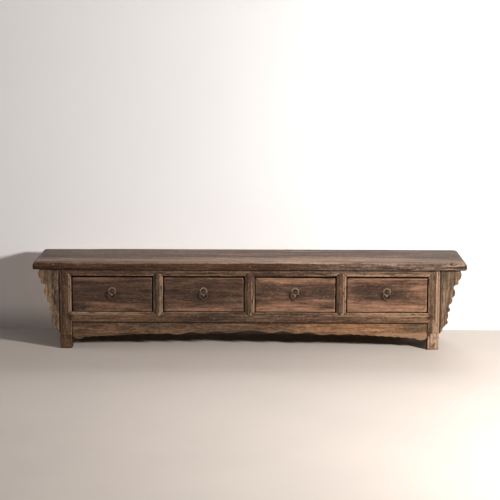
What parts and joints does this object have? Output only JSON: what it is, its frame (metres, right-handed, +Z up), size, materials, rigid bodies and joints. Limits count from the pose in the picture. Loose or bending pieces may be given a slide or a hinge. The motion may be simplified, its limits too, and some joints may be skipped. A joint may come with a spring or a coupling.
{
  "type": "low table",
  "caption": "Long low wooden table with an overhanging plank top, a row of drawers with iron ring pulls, scalloped wing brackets and a scalloped apron.",
  "frame": {"origin": "on the floor, under the middle of the top", "axes": "+Z up, +X along the table to the viewer's right, -Y towards the drawer fronts"},
  "size_m": [2.108, 0.396, 0.435],
  "materials": {
    "top_wood": "old worn finish",
    "frame_wood": "old worn finish",
    "carved_wood": "old worn finish",
    "drawer_wood": "old worn finish",
    "inner_wood": "bare old wood",
    "iron": "dark forged iron"
  },
  "bodies": {
    "frame": {"top_board": "top_wood", "leg_front_left": "frame_wood", "leg_front_right": "frame_wood", "leg_back_left": "frame_wood", "leg_back_right": "frame_wood", "wing_front_left": "carved_wood", "wing_front_right": "carved_wood", "wing_back_left": "carved_wood", "wing_back_right": "carved_wood", "front_top_rail": "frame_wood", "front_lower_rail": "frame_wood", "divider_1": "frame_wood", "divider_2": "frame_wood", "divider_3": "frame_wood", "front_apron": "carved_wood", "side_lower_rail_left": "frame_wood", "side_lower_rail_right": "frame_wood", "side_top_rail_left": "frame_wood", "side_top_rail_right": "frame_wood", "side_panel_left": "inner_wood", "side_panel_right": "inner_wood", "side_aprons": "carved_wood", "back_top_rail": "frame_wood", "back_lower_rail": "frame_wood", "back_panel": "inner_wood", "top_battens": "inner_wood", "drawer_runners": "inner_wood", "drawer_guides": "inner_wood"},
    "drawer_1": {"drawer_1_front": "drawer_wood", "drawer_1_side_left": "inner_wood", "drawer_1_side_right": "inner_wood", "drawer_1_back": "inner_wood", "drawer_1_bottom": "inner_wood", "pull_plate_1": "iron", "pull_pin_1": "iron"},
    "ring_1": {"pull_ring_1": "iron"},
    "drawer_2": {"drawer_2_front": "drawer_wood", "drawer_2_side_left": "inner_wood", "drawer_2_side_right": "inner_wood", "drawer_2_back": "inner_wood", "drawer_2_bottom": "inner_wood", "pull_plate_2": "iron", "pull_pin_2": "iron"},
    "ring_2": {"pull_ring_2": "iron"},
    "drawer_3": {"drawer_3_front": "drawer_wood", "drawer_3_side_left": "inner_wood", "drawer_3_side_right": "inner_wood", "drawer_3_back": "inner_wood", "drawer_3_bottom": "inner_wood", "pull_plate_3": "iron", "pull_pin_3": "iron"},
    "ring_3": {"pull_ring_3": "iron"},
    "drawer_4": {"drawer_4_front": "drawer_wood", "drawer_4_side_left": "inner_wood", "drawer_4_side_right": "inner_wood", "drawer_4_back": "inner_wood", "drawer_4_bottom": "inner_wood", "pull_plate_4": "iron", "pull_pin_4": "iron"},
    "ring_4": {"pull_ring_4": "iron"}
  },
  "joints": [
    {"name": "drawer_1_slide", "type": "slide", "parent": "frame", "child": "drawer_1", "axis": [0, -1, 0], "range_m": [0, 0.23]},
    {"name": "ring_1_swing", "type": "hinge", "parent": "drawer_1", "child": "ring_1", "pos_m": [-0.66825, -0.18483, 0.2859], "axis": [-1, 0, 0], "range_deg": [-4, 160]},
    {"name": "drawer_2_slide", "type": "slide", "parent": "frame", "child": "drawer_2", "axis": [0, -1, 0], "range_m": [0, 0.23]},
    {"name": "ring_2_swing", "type": "hinge", "parent": "drawer_2", "child": "ring_2", "pos_m": [-0.22275, -0.18483, 0.2859], "axis": [-1, 0, 0], "range_deg": [-4, 160]},
    {"name": "drawer_3_slide", "type": "slide", "parent": "frame", "child": "drawer_3", "axis": [0, -1, 0], "range_m": [0, 0.23]},
    {"name": "ring_3_swing", "type": "hinge", "parent": "drawer_3", "child": "ring_3", "pos_m": [0.22275, -0.18483, 0.2859], "axis": [-1, 0, 0], "range_deg": [-4, 160]},
    {"name": "drawer_4_slide", "type": "slide", "parent": "frame", "child": "drawer_4", "axis": [0, -1, 0], "range_m": [0, 0.23]},
    {"name": "ring_4_swing", "type": "hinge", "parent": "drawer_4", "child": "ring_4", "pos_m": [0.66825, -0.18483, 0.2859], "axis": [-1, 0, 0], "range_deg": [-4, 160]}
  ]
}
